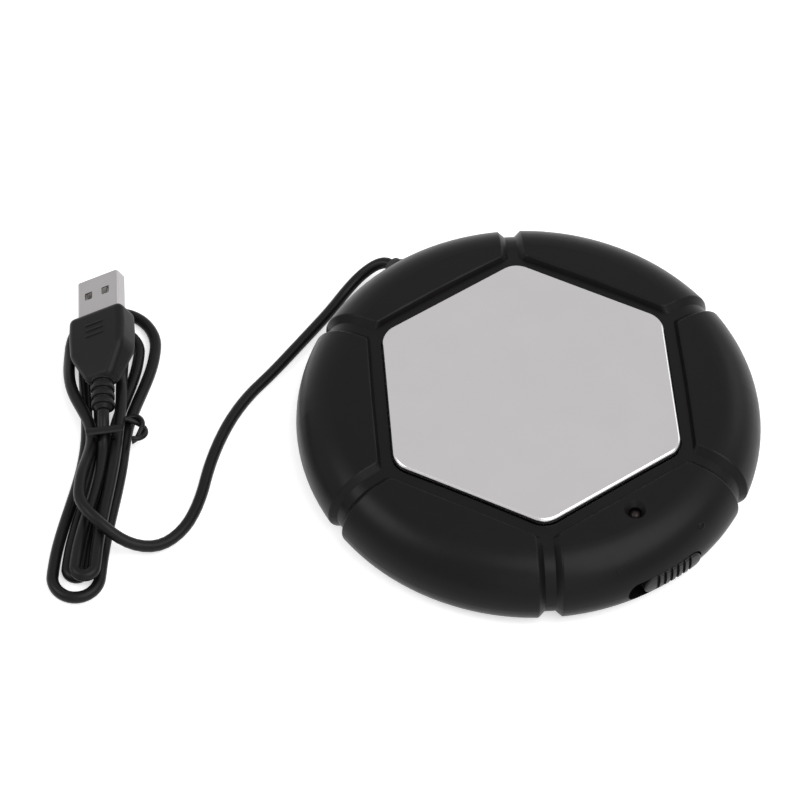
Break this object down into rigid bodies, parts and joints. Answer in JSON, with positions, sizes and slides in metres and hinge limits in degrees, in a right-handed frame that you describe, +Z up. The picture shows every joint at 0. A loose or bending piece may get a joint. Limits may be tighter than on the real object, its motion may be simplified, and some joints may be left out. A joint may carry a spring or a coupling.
{
  "type": "electric mug warmer",
  "caption": "Low round USB mug warmer with padded football-like housing, hexagonal metal warming plate, slide switch in the rim and a tied cord with plug.",
  "frame": {"origin": "centre of the underside, on the surface that the feet stand on", "axes": "+Z up out of the warming plate, -Y towards the switch, +Y towards the lead's exit, +X to the right as seen from the switch"},
  "size_m": [0.1831, 0.1566, 0.02],
  "materials": {
    "cover_plastic": "satin moulded black",
    "base_plastic": "fine textured black",
    "screw_steel": "zinc plated",
    "foot_rubber": "matt",
    "plate_metal": "satin",
    "gasket_silicone": "matt",
    "heater_film": "amber film",
    "contact_metal": "bright",
    "insulation": "felted fibre",
    "retainer_steel": "plain",
    "board_laminate": "solder mask",
    "switch_steel": "plated",
    "switch_base": "laminate",
    "lever_plastic": "moulded",
    "knob_plastic": "satin moulded black",
    "led_lens": "tinted resin",
    "resistor": "lacquer",
    "wire_sleeve": "insulated",
    "supply_sleeve": "insulated",
    "gland_rubber": "matt",
    "clamp_plastic": "moulded",
    "cord_jacket": "satin vinyl",
    "tie_plastic": "covered wire",
    "plug_plastic": "satin vinyl",
    "plug_steel": "bright nickel",
    "tongue_plastic": "white"
  },
  "bodies": {
    "housing": {"top_cover": "cover_plastic", "base_cover": "base_plastic", "housing_screws": "screw_steel", "rubber_feet": "foot_rubber", "warming_plate": "plate_metal", "plate_gasket": "gasket_silicone", "heater_film": "heater_film", "heater_terminals": "contact_metal", "insulation_pad": "insulation", "retainer_plate": "retainer_steel", "retainer_nuts": "screw_steel", "circuit_board": "board_laminate", "board_screws": "screw_steel", "slide_switch_case": "switch_steel", "slide_switch_base": "switch_base", "indicator_led": "led_lens", "led_resistor": "resistor", "heater_wires": "wire_sleeve", "supply_wires": "supply_sleeve", "cord_gland": "gland_rubber", "cord_clamp": "clamp_plastic", "clamp_screws": "screw_steel", "cord_inlet": "cord_jacket", "cord_lead": "cord_jacket", "cord_hank": "cord_jacket", "twist_tie": "tie_plastic", "plug_overmould": "plug_plastic", "plug_shell": "plug_steel", "plug_tongue": "tongue_plastic", "plug_contacts": "contact_metal"},
    "switch": {"switch_knob": "knob_plastic", "slide_switch_lever": "lever_plastic"}
  },
  "joints": [
    {"name": "switch_slide", "type": "slide", "parent": "housing", "child": "switch", "axis": [1, 0, 0], "range_m": [-0.004, 0]}
  ]
}
